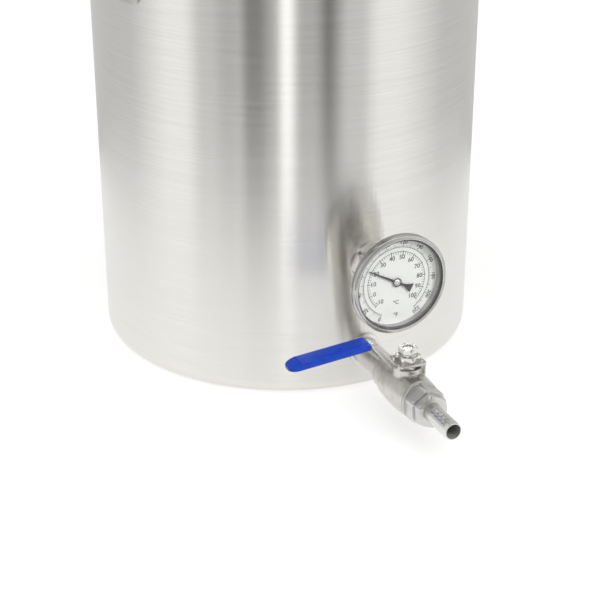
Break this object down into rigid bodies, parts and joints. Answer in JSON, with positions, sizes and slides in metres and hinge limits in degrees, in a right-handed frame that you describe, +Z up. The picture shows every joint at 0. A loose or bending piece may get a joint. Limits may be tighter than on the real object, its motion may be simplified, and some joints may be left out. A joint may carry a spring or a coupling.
{
  "type": "turkey fryer kettle with drain valve",
  "caption": "Stainless steel cooking kettle with lift-off lid and side handles, a dial thermometer and a lever ball valve with a hose barb low on its wall.",
  "frame": {"origin": "centre of the flat base, on the surface that the kettle stands on", "axes": "+Z up along the kettle's axis, -Y out along the valve and hose barb, so the closed lever points along -X"},
  "size_m": [0.406, 0.4692, 0.4266],
  "materials": {
    "kettle_steel": "fine lines brushed round the wall",
    "handle_steel": "satin",
    "cast_steel": "fine cast and tumbled",
    "machined_steel": "turned",
    "polished_steel": "polished",
    "silicone": "matt",
    "ptfe": "smooth",
    "gasket_rubber": "matt",
    "dial_enamel": "matt printed",
    "pointer_paint": "matt",
    "brass": "turned",
    "bimetal": "rolled strip",
    "glass": "clear",
    "vinyl_blue": "dipped, soft gloss"
  },
  "bodies": {
    "kettle_body": {"kettle_shell": "kettle_steel", "left_handle": "handle_steel", "right_handle": "handle_steel", "handle_rivets": "machined_steel", "thermometer_washer": "machined_steel", "thermometer_fitting": "machined_steel", "thermometer_seal": "silicone", "thermometer_locknut": "machined_steel", "thermometer_case": "polished_steel", "thermometer_stem": "machined_steel", "bimetal_coil": "bimetal", "spindle_bush": "brass", "dial_plate": "dial_enamel", "dial_ring": "machined_steel", "glass_gasket": "gasket_rubber", "thermometer_glass": "glass", "thermometer_bezel": "polished_steel", "valve_washer": "machined_steel", "valve_nipple": "machined_steel", "valve_seal": "silicone", "valve_locknut": "machined_steel", "valve_body": "cast_steel", "inner_seat": "ptfe", "outer_seat": "ptfe", "body_gasket": "ptfe", "valve_end_cap": "cast_steel", "hose_barb": "machined_steel", "thrust_washer": "ptfe", "stem_packing": "ptfe", "gland_nut": "machined_steel"},
    "lid_body": {"lid": "kettle_steel", "lid_handle": "handle_steel", "lid_rivets": "machined_steel"},
    "lever_body": {"ball": "polished_steel", "valve_stem": "machined_steel", "valve_lever": "machined_steel", "lever_grip": "vinyl_blue", "lever_nut": "machined_steel", "lock_washer": "machined_steel", "stem_nut": "machined_steel"},
    "pointer_body": {"pointer_spindle": "brass", "pointer": "pointer_paint", "pointer_cap": "polished_steel"}
  },
  "joints": [
    {"name": "lever_turn", "type": "hinge", "parent": "kettle_body", "child": "lever_body", "pos_m": [0, -0.231, 0.0354], "axis": [0, 0, 1], "range_deg": [0, 90]},
    {"name": "pointer_turn", "type": "hinge", "parent": "kettle_body", "child": "pointer_body", "pos_m": [0.00623, -0.1981, 0.1095], "axis": [0.0314, -0.9995, 0], "range_deg": [-196.3, 73.6], "stiffness_Nm_per_rad": 0.002},
    {"name": "lid_lift", "type": "slide", "parent": "kettle_body", "child": "lid_body", "axis": [0, 0, 1], "range_m": [0, 0.15]}
  ]
}
